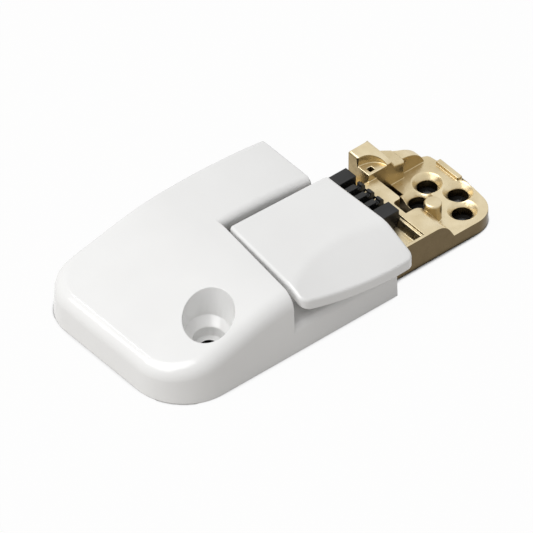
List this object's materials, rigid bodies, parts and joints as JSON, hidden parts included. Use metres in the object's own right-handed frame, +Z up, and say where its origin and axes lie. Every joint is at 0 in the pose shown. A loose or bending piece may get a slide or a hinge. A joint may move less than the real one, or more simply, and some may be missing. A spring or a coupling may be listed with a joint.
{
  "type": "shutter lock",
  "caption": "Surface-mounted shutter lock: painted cover with a screw well, a lift-up finger lever that draws back a side bolt, and a cast chassis tongue with screw holes.",
  "frame": {"origin": "middle of the seat under the lock", "axes": "+X along the lock from the cover to the tongue, +Y to the side where the bolt comes out, +Z up from the seat"},
  "size_m": [0.11, 0.064, 0.0185],
  "materials": {
    "white_paint": "gloss",
    "lever_paint": "gloss",
    "cast_brass": "satin",
    "black_plastic": "satin",
    "bright_steel": "satin",
    "spring_steel": "satin",
    "pad_rubber": "matte"
  },
  "bodies": {
    "base": {"cover": "white_paint", "chassis": "cast_brass", "guide_comb": "black_plastic", "lever_pin": "bright_steel", "pin_clips": "spring_steel", "bolt_spring": "spring_steel", "bolt_plate": "bright_steel", "plate_screws": "bright_steel", "cover_screws": "bright_steel", "lever_pads": "pad_rubber"},
    "lever": {"lever": "lever_paint", "lever_crank": "bright_steel"},
    "bolt": {"bolt": "bright_steel"}
  },
  "joints": [
    {"name": "lever_lift", "type": "hinge", "parent": "base", "child": "lever", "pos_m": [0.0044, 0, 0.013], "axis": [-1, 0, 0], "range_deg": [0, 35], "stiffness_Nm_per_rad": 0.0207, "springref_deg": -20.68},
    {"name": "bolt_slide", "type": "slide", "parent": "base", "child": "bolt", "axis": [0, -1, 0], "range_m": [0, 0.0052], "deforming": ["bolt_spring"]}
  ],
  "couplings": [
    {"joint": "bolt_slide", "follows": "lever_lift", "m_per_rad": 0.0083}
  ]
}
